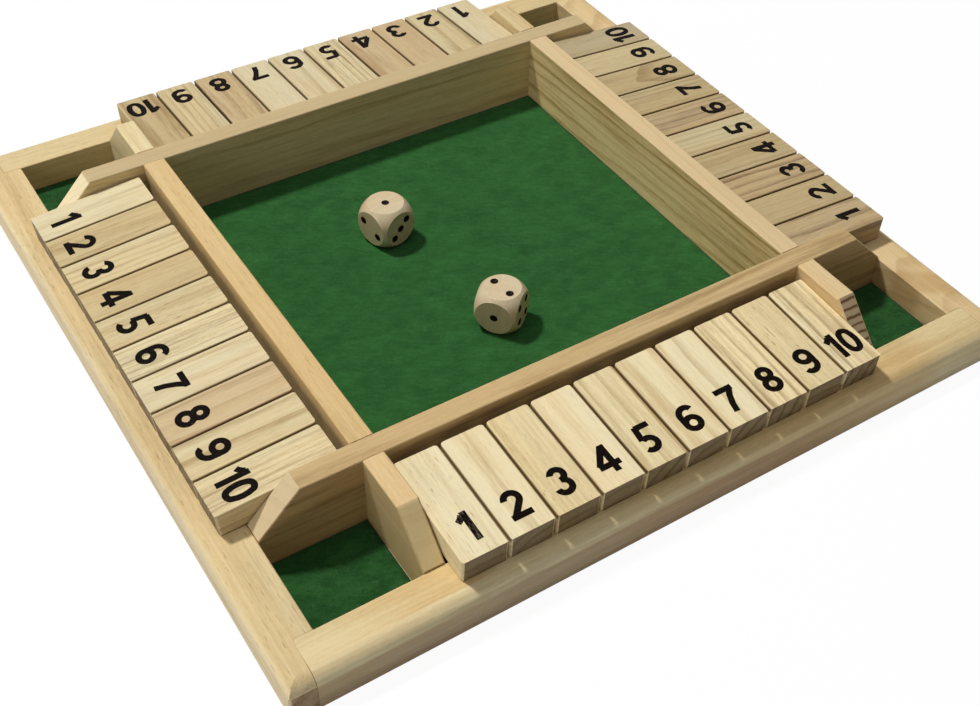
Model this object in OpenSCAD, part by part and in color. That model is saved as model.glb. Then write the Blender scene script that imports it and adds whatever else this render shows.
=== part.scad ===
// Four-sided shut the box board: a square wooden tray with a row of ten
// flip-up number tiles on each side, felt floors, open corner pockets and two dice.
// The origin is at the middle of the underside, +Z is up and the front row is at -Y.

/* [Outer rails] */
// Outside width and depth of the square board
board_w = 280; // [270:1:300]
// Width of the outer rails
rail_w = 15.1; // [14:0.1:18]
// Height of the outer rails above the table
rail_h = 14.3; // [12:0.1:18]
// Radius of the rounding along the rails' outer top edge
rail_round_r = 4.5; // [2:0.1:5]
// Radius of the easing along the rails' inner top edge
rail_ease_r = 0.5; // [0.2:0.1:1]
// Radius of the board's four upright corners
corner_r = 1; // [0.4:0.1:3]
// How deep the front and back rails are let into the side rails
rail_let_in = 6.6; // [4:0.1:9]
// Radius of the corner on each let-in rail end
let_in_r = 1.4; // [0.6:0.1:2.5]

/* [Inner walls] */
// Clear width of the dice tray, and room for each side row of tiles
tray_w = 163; // [158:1:165]
// Thickness of the inner walls
wall_t = 8.2; // [7:0.1:9]
// How far the inner walls stand above the outer rails
wall_rise = 15.7; // [14:0.1:19]
// Radius of the easing along the inner walls' top and sloping edges
wall_ease_r = 0.6; // [0.3:0.1:1]
// Length of the slope at each end of a long inner wall
wall_slope_len = 14.8; // [10:0.1:20]
// Height of the upright step that each slope leaves above the rail
slope_step = 0.8; // [0.4:0.1:3]

/* [End blocks] */
// Thickness of the blocks at the ends of the front and back rows
block_t = 7.5; // [6.5:0.1:8.5]
// How far the blocks' inner faces stand back from the tray's, at each end of a row
row_room = 0.5; // [0.3:0.1:0.8]
// Length of the slope on top of each end block
block_slope_len = 14.5; // [10:0.1:20]
// Radius of the easing along the blocks' top and sloping edges
block_ease_r = 0.9; // [0.3:0.1:1.5]

/* [Floor] */
// Thickness of the base panel
base_t = 2.2; // [1.8:0.1:4]
// How far the base panel is let into the rails on each side
base_let_in = 5; // [3:0.1:8]
// Thickness of the felt
felt_t = 0.8; // [0.5:0.1:1.5]
// Gap between the edge of each felt piece and the wood round it
felt_gap = 0.35; // [0.2:0.05:1]

/* [Number tiles] */
// Thickness of a tile
tile_t = 9.2; // [8.8:0.1:9.6]
// Gap between neighbouring tiles in the side rows
tile_gap = 0.6; // [0.4:0.05:0.8]
// Play left at the ends of a row, both ends together
row_play = 0.8; // [0.7:0.1:2]
// How far a resting tile reaches over its rail
tile_overhang = 8.5; // [6:0.1:9]
// Gap between a resting tile's inner end and the inner wall
tile_wall_gap = 2.6; // [2.4:0.1:2.8]
// Radius of the easing along a tile's long edges
tile_ease_r = 0.4; // [0.3:0.1:1]
// Radius of the upright corners at a tile's inner end
tile_corner_r = 1.6; // [1:0.1:3]
// Radius of the upright corners at a tile's outer end
tile_end_r = 1; // [0.3:0.1:1.6]

/* [Rods] */
// Diameter of the rods that the tiles turn on
rod_d = 3; // [2.5:0.1:3.2]
// Height of the rods' axes above the outer rails
rod_rise = 6.6; // [6.3:0.1:6.8]
// Distance of a rod's axis from its tiles' inner ends
rod_from_end = 11.4; // [11:0.1:11.8]
// How deep each rod end sits in its hole
rod_seat = 5; // [3:0.1:6]
// Radial clearance of the rods in the tiles
bore_clearance = 0.05; // [0.03:0.01:0.1]
// Radial clearance of the rods in their end holes
seat_clearance = 0.02; // [0.01:0.01:0.05]

/* [Dice] */
// Width of a die across its flats
die_w = 16; // [12:0.5:20]
// Diameter of the ball that rounds the corners of a die, over its width
die_ball = 1.33; // [1.2:0.01:1.5]
// Diameter of a pip
pip_d = 2.9; // [2:0.1:3.4]
// Depth of a pip
pip_depth = 0.6; // [0.3:0.1:1]
// Distance of the outer pips from the middle lines of a face
pip_spread = 3.1; // [2.5:0.1:3.6]
// Where the first die lies in the tray
die_a_at = [-17.8, 28.3]; // [-60:0.1:60]
// How far the first die is turned
die_a_turn = 14; // [0:1:90]
// Where the second die lies in the tray
die_b_at = [-5.9, -35.1]; // [-60:0.1:60]
// How far the second die is turned
die_b_turn = 37; // [0:1:90]

/* [Hidden] */
$fn = 64;
eps = 1;
rest_gap = 0.05;
tiles_per_row = 10;

// The rows run anticlockwise from the front. Each entry holds a side's name, the turn
// from the front row to it, how far the row has slid towards its last tile, and the
// extra room at each end of the row.
SIDES = [["front", 0, 0.15, row_room], ["right", 90, 0.3, 0],
    ["back", 180, -0.1, row_room], ["left", 270, 0.3, 0]];

half_w = board_w / 2;
rail_in = half_w - rail_w;
tray_half = tray_w / 2;
wall_out = tray_half + wall_t;
block_in = tray_half + row_room;
block_out = block_in + block_t;
wall_top = rail_h + wall_rise;
floor_z = base_t + felt_t;
base_half = rail_in + base_let_in;

// A side row fills the tray's width, less its play and the gaps between tiles. The
// other two rows have the same tiles, spread a little wider between the end blocks.
tile_w = (tray_w - row_play - (tiles_per_row - 1) * tile_gap) / tiles_per_row;
function row_half(side) = tray_half + side[3];
function row_pitch(side) = tile_w + tile_gap + 2 * side[3] / (tiles_per_row - 1);

// The rod's place follows from the gap behind the tiles. A resting tile leans on its
// outer lower edge, so its reach and tilt follow from the rod's height over the rail.
tile_half_t = tile_t / 2;
rod_r = rod_d / 2;
rod_gap = tile_wall_gap + rod_from_end;
rod_off = wall_out + rod_gap;
rod_z = rail_h + rod_rise;
rest_run = rail_in + tile_overhang - rod_off;
rest_drop = rod_rise - rest_gap;
tile_reach = sqrt(pow(rest_run, 2) + pow(rest_drop, 2) - pow(tile_half_t, 2));
tile_tilt = atan2(rest_drop, rest_run) - atan2(tile_half_t, tile_reach);

function tile_node(side, n) = str("tile_", side[0], "_", n);

// A bar lying along X, centred on it, made from an outline drawn in Y and Z.
module bar_x(length) {
    rotate([90, 0, 90])
        translate([0, 0, -length / 2])
            linear_extrude(length) children();
}

// The waste outside a rounded corner, for a convex corner at the origin that
// opens towards -X and -Y.
module round_waste(r) {
    difference() {
        translate([-r, -r]) square(r + eps);
        translate([-r, -r]) circle(r);
    }
}

// A rectangle from the origin with both upper corners rounded.
module top_eased_rect(w, h, r) {
    difference() {
        square([w, h]);
        translate([w, h]) round_waste(r);
        translate([0, h]) mirror([1, 0]) round_waste(r);
    }
}

// A rectangle centred on the origin with all its corners rounded.
module eased_rect(w, h, r) {
    difference() {
        square([w, h], center = true);
        for (sx = [0, 1], sy = [0, 1])
            mirror([sx, 0]) mirror([0, sy]) translate([w / 2, h / 2]) round_waste(r);
    }
}

// The whole frame before it is cut into rails: a slab with its top edges rounded.
module frame_envelope() {
    intersection() {
        bar_x(board_w) translate([-half_w, 0]) top_eased_rect(board_w, rail_h, rail_round_r);
        rotate([0, 0, 90]) bar_x(board_w)
            translate([-half_w, 0]) top_eased_rect(board_w, rail_h, rail_round_r);
        linear_extrude(rail_h) eased_rect(board_w, board_w, corner_r);
    }
}

// Easing cut along the inner top edge of the front rail, from pocket to pocket.
module rail_ease(length) {
    bar_x(length)
        translate([-rail_in, rail_h]) round_waste(rail_ease_r);
}

// The room that the base panel takes out of the rails' lower inner edges.
module base_rebate() {
    translate([-base_half, -base_half, -eps])
        cube([2 * base_half, 2 * base_half, base_t + eps]);
}

// Outline of the front rail's end zone as it is let into a side rail.
module let_in_outline() {
    difference() {
        translate([-rail_in - rail_let_in, -half_w - eps])
            square([rail_let_in + eps, rail_w + eps]);
        translate([-rail_in - rail_let_in, -rail_in]) mirror([1, 0]) round_waste(let_in_r);
    }
}

// Front or back rail, with both ends let into the side rails.
module long_rail() {
    difference() {
        intersection() {
            frame_envelope();
            linear_extrude(rail_h) union() {
                translate([-rail_in, -half_w]) square([2 * rail_in, rail_w]);
                let_in_outline();
                mirror([1, 0]) let_in_outline();
            }
        }
        base_rebate();
        rail_ease(2 * rail_in);
    }
}

// Side rail over the board's whole depth, notched at both ends.
module side_rail() {
    difference() {
        intersection() {
            frame_envelope();
            translate([-half_w, -half_w, 0]) cube([rail_w, board_w, rail_h]);
        }
        base_rebate();
        for (flip = [0, 1])
            mirror([0, flip, 0])
                translate([0, 0, -eps]) linear_extrude(rail_h + 2 * eps) let_in_outline();
        rotate([0, 0, -90]) rail_ease(2 * rail_in);
    }
}

module rail(side) {
    color("burlywood")
        if (side[0] == "front" || side[0] == "back") rotate([0, 0, side[1]]) long_rail();
        else rotate([0, 0, side[1] - 270]) side_rail();
}

// A blind hole along X for a rod end, open towards the row that the rod serves.
module rod_seat_x(y, mouth_x, toward) {
    translate([mouth_x - toward * eps, y, rod_z])
        rotate([0, toward * 90, 0])
            cylinder(h = rod_seat + eps, r = rod_r + seat_clearance);
}

// The waste above the slope at the end of a board that lies along X, for the end at
// +X. The slope runs down to a low step above the rail, and its long edges are eased.
module slope_waste(slope_len, y_low, thickness, r) {
    fall = atan2(wall_top - rail_h - slope_step, slope_len);
    translate([rail_in - slope_len, 0, wall_top])
        rotate([0, fall, 0]) {
            translate([-rail_w, y_low - eps, 0])
                cube([4 * rail_w, thickness + 2 * eps, 2 * rail_w]);
            bar_x(4 * rail_w) {
                translate([y_low + thickness, 0]) round_waste(r);
                translate([y_low, 0]) mirror([1, 0]) round_waste(r);
            }
        }
}

// Long inner wall at the front, from rail to rail, with sloping ends. It also
// holds one end of each side row's rod.
module long_inner_wall() {
    difference() {
        bar_x(2 * rail_in)
            translate([-wall_out, base_t])
                top_eased_rect(wall_t, wall_top - base_t, wall_ease_r);
        for (flip = [0, 1])
            mirror([flip, 0, 0])
                slope_waste(wall_slope_len, -wall_out, wall_t, wall_ease_r);
        for (x = [-rod_off, rod_off])
            rotate([0, 0, 90]) rod_seat_x(-x, -tray_half, -1);
    }
}

// Side inner wall at the right, butted between the long ones.
module side_inner_wall() {
    rotate([0, 0, 90]) bar_x(tray_w)
        translate([-wall_out, base_t]) top_eased_rect(wall_t, wall_top - base_t, wall_ease_r);
}

module inner_wall(side) {
    color("tan")
        if (side[0] == "front" || side[0] == "back") rotate([0, 0, side[1]]) long_inner_wall();
        else rotate([0, 0, side[1] - 90]) side_inner_wall();
}

// End block of the front row at the left: a wall-high piece that slopes down to the rail.
module end_block_piece() {
    difference() {
        rotate([0, 0, -90]) {
            difference() {
                translate([(wall_out + rail_in) / 2, 0, 0]) bar_x(rail_in - wall_out)
                    translate([-block_out, base_t])
                        top_eased_rect(block_t, wall_top - base_t, block_ease_r);
                slope_waste(block_slope_len, -block_out, block_t, block_ease_r);
            }
        }
        rod_seat_x(-rod_off, -block_in, -1);
    }
}

module end_block(side, end) {
    color("tan")
        mirror([0, side == "back" ? 1 : 0, 0]) mirror([end == "right" ? 1 : 0, 0, 0])
            end_block_piece();
}

// Steel rod through one row of tiles, seated at both ends.
module rod(side) {
    color("silver")
        rotate([0, 0, side[1]])
            translate([-row_half(side) - rod_seat, -rod_off, rod_z])
                rotate([0, 90, 0]) cylinder(h = 2 * (row_half(side) + rod_seat), r = rod_r);
}

// Number tile with its bore along X at the origin and its outer end towards -Y.
module tile_blank() {
    tile_len = rod_from_end + tile_reach;
    difference() {
        intersection() {
            translate([0, 0, -tile_half_t]) linear_extrude(tile_t)
                difference() {
                    translate([-tile_w / 2, -tile_reach]) square([tile_w, tile_len]);
                    for (flip = [0, 1])
                        mirror([flip, 0]) {
                            translate([tile_w / 2, rod_from_end]) round_waste(tile_corner_r);
                            translate([tile_w / 2, -tile_reach])
                                mirror([0, 1]) round_waste(tile_end_r);
                        }
                }
            translate([0, rod_from_end + eps, 0]) rotate([90, 0, 0])
                linear_extrude(tile_len + 2 * eps) eased_rect(tile_w, tile_t, tile_ease_r);
        }
        rotate([0, 90, 0])
            cylinder(h = tile_w + 2 * eps, r = rod_r + bore_clearance, center = true);
    }
}

// Number n in its row, at rest with its outer end on the rail.
module tile(side, n) {
    x = (n - (tiles_per_row + 1) / 2) * row_pitch(side) + side[2];
    color("wheat")
        rotate([0, 0, side[1]])
            translate([x, -rod_off, rod_z]) rotate([tile_tilt, 0, 0]) tile_blank();
}

// Plywood panel let into the rails, flush with their undersides.
module base_panel() {
    color("peru")
        translate([-base_half, -base_half, 0]) cube([2 * base_half, 2 * base_half, base_t]);
}

// One felt piece on the base panel, cut a little smaller than the space given.
module felt_piece(low, high) {
    translate([low[0] + felt_gap, low[1] + felt_gap, base_t])
        cube([high[0] - low[0] - 2 * felt_gap, high[1] - low[1] - 2 * felt_gap, felt_t]);
}

// Felt in the tray, in the channels under the tiles and in the corner pockets.
module felt_lining() {
    color("darkgreen") {
        felt_piece([-tray_half, -tray_half], [tray_half, tray_half]);
        for (side = SIDES)
            rotate([0, 0, side[1]])
                felt_piece([-row_half(side), -rail_in], [row_half(side), -wall_out]);
        for (fx = [0, 1], fy = [0, 1])
            mirror([fx, 0, 0]) mirror([0, fy, 0])
                felt_piece([-rail_in, -rail_in], [-block_out, -wall_out]);
    }
}

// Where the pips of one face lie, in units of the spread. The pair on the 2 stands
// steeper than a diagonal.
function pip_places(count) = [
    if (count % 2 == 1) [0, 0],
    if (count == 2) each [[0.66, 1.2], [-0.66, -1.2]],
    if (count > 2) each [[1, 1], [-1, -1]],
    if (count > 3) each [[1, -1], [-1, 1]],
    if (count == 6) each [[1, 0], [-1, 0]]
];

// The faces of a die as [pips, turn that carries the top face there].
DIE_FACES = [[1, [0, 0, 0]], [6, [180, 0, 0]], [3, [90, 0, 0]], [4, [-90, 0, 0]],
    [2, [0, -90, 0]], [5, [0, 90, 0]]];

// Wooden die centred on the origin: a cube rounded by a ball, with dished pips.
module die() {
    dish_r = (pow(pip_d / 2, 2) + pow(pip_depth, 2)) / (2 * pip_depth);
    color("beige")
        difference() {
            intersection() {
                cube(die_w, center = true);
                sphere(d = die_w * die_ball);
            }
            for (face = DIE_FACES)
                rotate(face[1])
                    for (at = pip_places(face[0]))
                        translate([at[0] * pip_spread, at[1] * pip_spread,
                                die_w / 2 + dish_r - pip_depth])
                            sphere(dish_r);
        }
}

// First die, one pip up.
module die_a() {
    translate([die_a_at[0], die_a_at[1], floor_z + die_w / 2]) rotate([0, 0, die_a_turn]) die();
}

// Second die, two pips up.
module die_b() {
    translate([die_b_at[0], die_b_at[1], floor_z + die_w / 2])
        rotate([0, 0, die_b_turn]) rotate([180, 90, 0]) die();
}

base_panel();
felt_lining();
for (side = SIDES) {
    rail(side);
    inner_wall(side);
    rod(side);
    for (n = [1:tiles_per_row])
        tile(side, n);
}
for (side = ["front", "back"], end = ["left", "right"])
    end_block(side, end);
die_a();
die_b();
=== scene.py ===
# %% [markdown]
# # A four-sided shut the box board
#
# This lesson dresses a small wooden game: a square tray with a felt floor, a row of ten
# flip-up number tiles on each of its four sides, steel rods that the tiles turn on, and
# two wooden dice. The joinery comes from a CAD model that is loaded as it is. The lesson
# adds what CAD leaves out: the grain of every board, the felt, the printed numbers, the
# black pips, and the light of a small photo studio.

# %% Load the board as its joiner drew it
import math

import bmesh
import bpy
from mathutils import Euler, Matrix, Vector, noise


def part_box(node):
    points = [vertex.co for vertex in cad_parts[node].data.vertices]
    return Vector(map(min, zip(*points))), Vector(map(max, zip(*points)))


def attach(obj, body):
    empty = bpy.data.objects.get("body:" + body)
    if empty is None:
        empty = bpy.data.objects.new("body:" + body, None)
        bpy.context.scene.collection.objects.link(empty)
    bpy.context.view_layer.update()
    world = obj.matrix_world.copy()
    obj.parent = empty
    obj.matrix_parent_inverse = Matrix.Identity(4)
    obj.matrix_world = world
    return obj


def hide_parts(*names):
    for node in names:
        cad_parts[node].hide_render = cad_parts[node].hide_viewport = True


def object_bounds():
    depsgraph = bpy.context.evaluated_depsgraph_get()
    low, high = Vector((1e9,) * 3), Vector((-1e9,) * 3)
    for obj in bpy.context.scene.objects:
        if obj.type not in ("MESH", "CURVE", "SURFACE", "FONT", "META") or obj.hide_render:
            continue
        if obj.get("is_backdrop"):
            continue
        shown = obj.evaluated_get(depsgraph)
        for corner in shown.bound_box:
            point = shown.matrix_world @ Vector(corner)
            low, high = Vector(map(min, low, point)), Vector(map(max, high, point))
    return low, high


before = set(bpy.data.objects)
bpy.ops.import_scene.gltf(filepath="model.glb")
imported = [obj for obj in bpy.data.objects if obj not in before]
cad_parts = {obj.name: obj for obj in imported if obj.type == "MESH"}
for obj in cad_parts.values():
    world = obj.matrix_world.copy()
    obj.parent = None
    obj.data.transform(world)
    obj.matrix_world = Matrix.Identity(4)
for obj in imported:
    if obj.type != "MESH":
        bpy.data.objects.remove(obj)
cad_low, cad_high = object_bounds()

MM = 0.001
scene = bpy.context.scene
print("board", [round(v / MM, 1) for v in cad_high - cad_low], "mm,", len(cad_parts), "pieces")

# %% [markdown]
# ## The camera
#
# The photograph was taken from the front left, about half a metre away. A camera has a
# place, a turn and a lens. The small shift moves the picture sideways on the sensor
# without turning the camera, which is how a cropped photograph behaves.

# %% Set up the camera
camera_data = bpy.data.cameras.new("photo_camera")
camera_data.sensor_width = 36
camera_data.lens = 49.4406
camera_data.shift_x, camera_data.shift_y = -0.058317, 0.008571
camera = bpy.data.objects.new("photo_camera", camera_data)
camera.location = (-0.19871, -0.33409, 0.33409)
camera.rotation_euler = [math.radians(angle) for angle in (45.351, -2.011, -33.599)]
scene.collection.objects.link(camera)
scene.camera = camera
scene.view_settings.view_transform = "Standard"
print("camera", round(camera.location.length, 3), "m from the board's middle")

# %% [markdown]
# ## Small helpers for node trees
#
# Every material below is a tree of nodes. Adding a node takes three steps: make it, set
# its options, and fill its inputs with either a plain value or a link from another node.
# One helper does all three, and short ones cover the nodes that come up most: sums,
# smooth steps, stretched noise and mixed colours.

# %% Write the node helpers
def fill(tree, node, inputs):
    """Links or sets each of a node's inputs that is given."""
    for key, value in inputs.items():
        if isinstance(value, bpy.types.NodeSocket):
            tree.links.new(value, node.inputs[key])
        else:
            node.inputs[key].default_value = value


def add_node(tree, kind, inputs=(), **options):
    """Adds a node, sets its options, and fills its inputs."""
    node = tree.nodes.new("ShaderNode" + kind)
    for name, value in options.items():
        setattr(node, name, value)
    fill(tree, node, dict(inputs))
    return node


def calc(tree, operation, *values):
    """One sum on two or three numbers."""
    return add_node(tree, "Math", enumerate(values), operation=operation).outputs[0]


def times(tree, first, second):
    """The product of two numbers."""
    return calc(tree, "MULTIPLY", first, second)


def calc_vector(tree, operation, *values):
    """One sum on vectors."""
    return add_node(tree, "VectorMath", enumerate(values), operation=operation).outputs[0]


def in_mm(tree, place):
    """A place in millimetres."""
    return calc_vector(tree, "MULTIPLY", place, (1 / MM, 1 / MM, 1 / MM))


def object_place(tree):
    """The place on the piece, which moves with it."""
    return add_node(tree, "TexCoord").outputs["Object"]


def split(tree, vector):
    """The three numbers of a vector, by the names X, Y and Z."""
    return add_node(tree, "SeparateXYZ", {0: vector}).outputs


def step(tree, value, start, end, low=0.0, high=1.0):
    """Goes smoothly from low to high while the value goes from start to end."""
    ends = {"Value": value, "From Min": start, "From Max": end, "To Min": low, "To Max": high}
    return add_node(tree, "MapRange", ends, interpolation_type="SMOOTHSTEP").outputs["Result"]


def spots(tree, place_mm, per_mm, seed, detail=2.0, roughness=0.5, want="Fac"):
    """Noise with the number of spots per millimetre that each direction asks for."""
    scaled = calc_vector(tree, "MULTIPLY", place_mm, per_mm)
    inputs = {"Vector": scaled, "W": seed, "Scale": 1.0, "Detail": detail, "Roughness": roughness}
    return add_node(tree, "TexNoise", inputs, noise_dimensions="4D").outputs[want]


def mix_colour(tree, factor, first, second, blend="MIX"):
    """Mixes two colours. The node's colour inputs have the numbers 6 and 7, and its colour output 2."""
    inputs = {0: factor, 6: first, 7: second}
    return add_node(tree, "Mix", inputs, data_type="RGBA", blend_type=blend, clamp_factor=True).outputs[2]


def tint(tree, factor, colour, filter_colour):
    """Looks at a colour through a filter."""
    return mix_colour(tree, factor, colour, filter_colour, "MULTIPLY")


def rgb(red, green, blue):
    """An opaque colour."""
    return (red, green, blue, 1.0)


def start_group(name, inputs, outputs):
    """Starts a node group, and returns its tree, what it is given, and the node for its result.

    An input has a name and a kind, and may have a value for when nothing else is given."""
    tree = bpy.data.node_groups.new(name, "ShaderNodeTree")
    for label, kind, *value in inputs:
        socket = tree.interface.new_socket(label, in_out="INPUT", socket_type="NodeSocket" + kind)
        if value:
            socket.default_value = value[0]
    for label, kind in outputs:
        tree.interface.new_socket(label, in_out="OUTPUT", socket_type="NodeSocket" + kind)
    return tree, tree.nodes.new("NodeGroupInput").outputs, tree.nodes.new("NodeGroupOutput")


def use_group(tree, group, inputs):
    """Places a node group in a material or in another group."""
    return add_node(tree, "Group", inputs, node_tree=group).outputs


def start_material(name):
    """Starts a material, and returns it with its tree and its Principled shader."""
    material = bpy.data.materials.new(name)
    material.use_nodes = True
    tree = material.node_tree
    return material, tree, tree.nodes["Principled BSDF"]


# %% [markdown]
# ## Floor and background
#
# The board stands on a white sweep, so there is no horizon. A white that the camera sees
# and a white that lights the object are two things. Light Path tells them apart: rays
# from the camera, and those that a glossy face sends on, see a bright floor and world,
# while the light that falls on the wood stays at a plain level. The floor keeps a small
# part of its own shading, so a faint shadow under the board still shows.

# %% Lay the floor and the background
FLOOR_HALF_WIDTH = 4.0
FLOOR_GREY = 0.70
FLOOR_GLOW = 0.94


def seen_directly(tree):
    """1 for rays from the camera, or passed on by a glossy or clear face."""
    path = add_node(tree, "LightPath").outputs
    glossy = calc(tree, "MAXIMUM", path["Is Camera Ray"], path["Is Glossy Ray"])
    return calc(tree, "MAXIMUM", glossy, path["Is Transmission Ray"])


floor_mesh = bpy.data.meshes.new("studio_floor")
builder = bmesh.new()
hair_below = Matrix.Translation((0, 0, -0.1 * MM))
bmesh.ops.create_grid(builder, x_segments=1, y_segments=1, size=FLOOR_HALF_WIDTH, matrix=hair_below)
builder.to_mesh(floor_mesh)
builder.free()
floor = bpy.data.objects.new("studio_floor", floor_mesh)
scene.collection.objects.link(floor)
floor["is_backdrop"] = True

floor_paper, tree, shader = start_material("floor_paper")
seen = seen_directly(tree)
grey = mix_colour(tree, seen, rgb(FLOOR_GREY, FLOOR_GREY, FLOOR_GREY), rgb(1, 1, 1))
fill(tree, shader, {"Base Color": grey, "Roughness": 0.9, "Specular IOR Level": 0.0})
glow = add_node(tree, "Emission", {"Color": rgb(1, 1, 1), "Strength": 1.0})
share = times(tree, seen, FLOOR_GLOW)
mixed = add_node(tree, "MixShader", {0: share, 1: shader.outputs[0], 2: glow.outputs[0]})
tree.links.new(mixed.outputs[0], tree.nodes["Material Output"].inputs["Surface"])
floor_mesh.materials.append(floor_paper)

AMBIENT = 0.07
scene.world = bpy.data.worlds.new("studio")
scene.world.use_nodes = True
tree = scene.world.node_tree
strength = step(tree, seen_directly(tree), 0.0, 1.0, AMBIENT, 1.0)
fill(tree, tree.nodes["Background"], {"Color": rgb(1, 1, 1), "Strength": strength})
print("floor glow", FLOOR_GLOW, "ambient", AMBIENT)

# %% [markdown]
# ## Lights
#
# The shadows of the dice are short, dark and a little soft, and fall to the lower right.
# So the main lamp is a small disc, high up and a little behind the board, and it gives
# most of the light. A big soft panel overhead and a pale world open the shadows. The
# left faces are lighter than the front ones, so a panel stands on the left.

# %% Hang the lamps
def soft_lamp(name, place, width, watts):
    """A disc-shaped lamp that faces the middle of the board."""
    data = bpy.data.lights.new(name, "AREA")
    data.shape = "DISK"
    data.size = width
    data.energy = watts
    lamp = bpy.data.objects.new(name, data)
    lamp.location = place
    lamp.rotation_euler = (-Vector(place)).to_track_quat("-Z", "Y").to_euler()
    scene.collection.objects.link(lamp)
    return lamp


lamps = [
    soft_lamp("key_lamp", (-0.44, 0.72, 1.70), 0.20, 28.5),
    soft_lamp("overhead_panel", (-0.05, -0.15, 1.10), 0.9, 2.4),
    soft_lamp("left_panel", (-1.2, -0.2, 0.5), 0.7, 2.6),
]
print([(lamp.name, lamp.data.energy) for lamp in lamps])

# %% [markdown]
# ## Pine, as a log
#
# Wood isn't a picture glued to a board. Every board is cut out of a log, and the log is
# a stack of nested cones, one for each year. So the pine here is a solid pattern: give
# it a place in the log, and it answers with the colour there. A board cut near the
# middle of the log shows wide arches, one cut far from it shows straight lines, and the
# end of the same board shows the rings themselves, with no extra work.
#
# Each ring starts pale in spring and ends in a thin dark line, so it is a sawtooth: a
# slow rise and a sudden fall. On top come fibres, which are noise stretched along the
# grain, a papery speckle, short dark flecks, broad streaks, and a slow change between
# cooler and warmer.

# %% Grow the pine
LATE_WOOD = 0.50
FIBRE_SHADE = 0.60

FIGURE_PARTS = "Pith Across", "Pith Below", "Cone", "Ring Width", "Rings", "Streaks", "Flecks", "Wander"

pine, given, result = start_group(
    "pine_log", [("Place", "Vector"), ("Seed", "Float"), ("Pale", "Color"), ("Dark", "Color")]
    + [(part, "Float") for part in FIGURE_PARTS],
    [("Color", "Color"), ("Late Wood", "Float"), ("Roughness", "Float"), ("Height", "Float")])
tree, seed = pine, given["Seed"]
place_mm = in_mm(tree, given["Place"])

drift = spots(tree, place_mm, (0.011, 0.055, 0.055), seed, detail=3.0, roughness=0.55, want="Color")
drift = calc_vector(tree, "MULTIPLY", calc_vector(tree, "SUBTRACT", drift, (0.5, 0.5, 0.5)), (0.0, 2.0, 2.0))
drift = add_node(tree, "VectorMath", {0: drift, "Scale": given["Wander"]}, operation="SCALE").outputs[0]
pith = add_node(tree, "CombineXYZ", {"Y": given["Pith Across"], "Z": given["Pith Below"]}).outputs[0]
from_pith = calc_vector(tree, "MULTIPLY", calc_vector(tree, "ADD", place_mm, pith), (0.0, 1.0, 1.0))
from_pith = calc_vector(tree, "ADD", from_pith, drift)
radius = add_node(tree, "VectorMath", {0: from_pith}, operation="LENGTH").outputs["Value"]
along = split(tree, place_mm)["X"]
radius = calc(tree, "MULTIPLY_ADD", along, given["Cone"], radius)
years = calc(tree, "DIVIDE", radius, given["Ring Width"])
season = calc(tree, "FRACT", years)
year = calc(tree, "MULTIPLY_ADD", seed, 17.3, calc(tree, "FLOOR", years))
year_luck = add_node(tree, "TexWhiteNoise", {"W": year}, noise_dimensions="1D").outputs["Value"]
late = times(tree, step(tree, season, LATE_WOOD, 0.93), step(tree, season, 1.0, 0.95))
late = times(tree, late, step(tree, year_luck, 0.0, 1.0, 0.35, 1.0))
ring = times(tree, late, given["Rings"])


def grain_noise(per_mm, seed_step, **options):
    """Noise stretched along the grain. Each step on from the seed gives a pattern of its own."""
    return spots(pine, place_mm, per_mm, calc(pine, "ADD", seed, seed_step), **options)


fine = grain_noise((0.03, 1.1, 1.1), 0.0, detail=4.0, roughness=0.65)
short = grain_noise((0.30, 1.4, 1.4), 5.0)
paper = grain_noise((1.0, 1.9, 1.9), 8.0, detail=3.0, roughness=0.7)
fibre = 0.0
for part, share in ((fine, 0.55), (short, 0.25), (paper, 0.20)):
    fibre = calc(tree, "MULTIPLY_ADD", step(tree, part, 0.3, 0.7), share, fibre)
streak = grain_noise((0.011, 0.17, 0.17), 11.0, detail=4.0, roughness=0.70)
streak = times(tree, step(tree, streak, 0.46, 0.64), given["Streaks"])
fleck = grain_noise((0.22, 2.4, 2.4), 23.0, detail=1.5)
fleck = times(tree, step(tree, fleck, 0.62, 0.74), given["Flecks"])

darkness = calc(tree, "ADD", ring, streak)
darkness = calc(tree, "MULTIPLY_ADD", calc(tree, "SUBTRACT", fibre, 0.35), FIBRE_SHADE, darkness)
wood = mix_colour(tree, darkness, given["Pale"], given["Dark"])
wood = tint(tree, fleck, wood, rgb(0.55, 0.44, 0.34))
tone = grain_noise((0.010, 0.10, 0.10), 31.0)
wood = tint(tree, step(tree, tone, 0.35, 0.65, 0.0, 0.6), wood, rgb(0.99, 0.90, 0.79))
matt = step(tree, fibre, 0.0, 1.0, 0.46, 0.60)
height = calc(tree, "MULTIPLY_ADD", fleck, -0.8, times(tree, fibre, 0.6))
height = calc(tree, "MULTIPLY_ADD", ring, -0.5, height)
fill(tree, result, {"Color": wood, "Late Wood": late, "Roughness": matt, "Height": height})
print("pine log:", len(pine.nodes), "nodes")

# %% [markdown]
# ## End grain
#
# Where a board is cut across, the cut shows the open ends of the fibres. They drink the
# finish and look darker and greyer than the faces, with tiny pores. The dark lines of the
# rings drink even more, so they can show on the cut and hardly at all on the faces. The
# cut is a flat plane, so a mask can find it from the place alone: everything beyond the
# plane is end grain. A lean of 1 and a rise of 0 is a square cut, and other pairs give a
# slope. The plane lies a hair inside the cut face, so that all of the face is beyond it.
# A cut that was sanded after the oiling is wiped over with its own pale colour.

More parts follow.
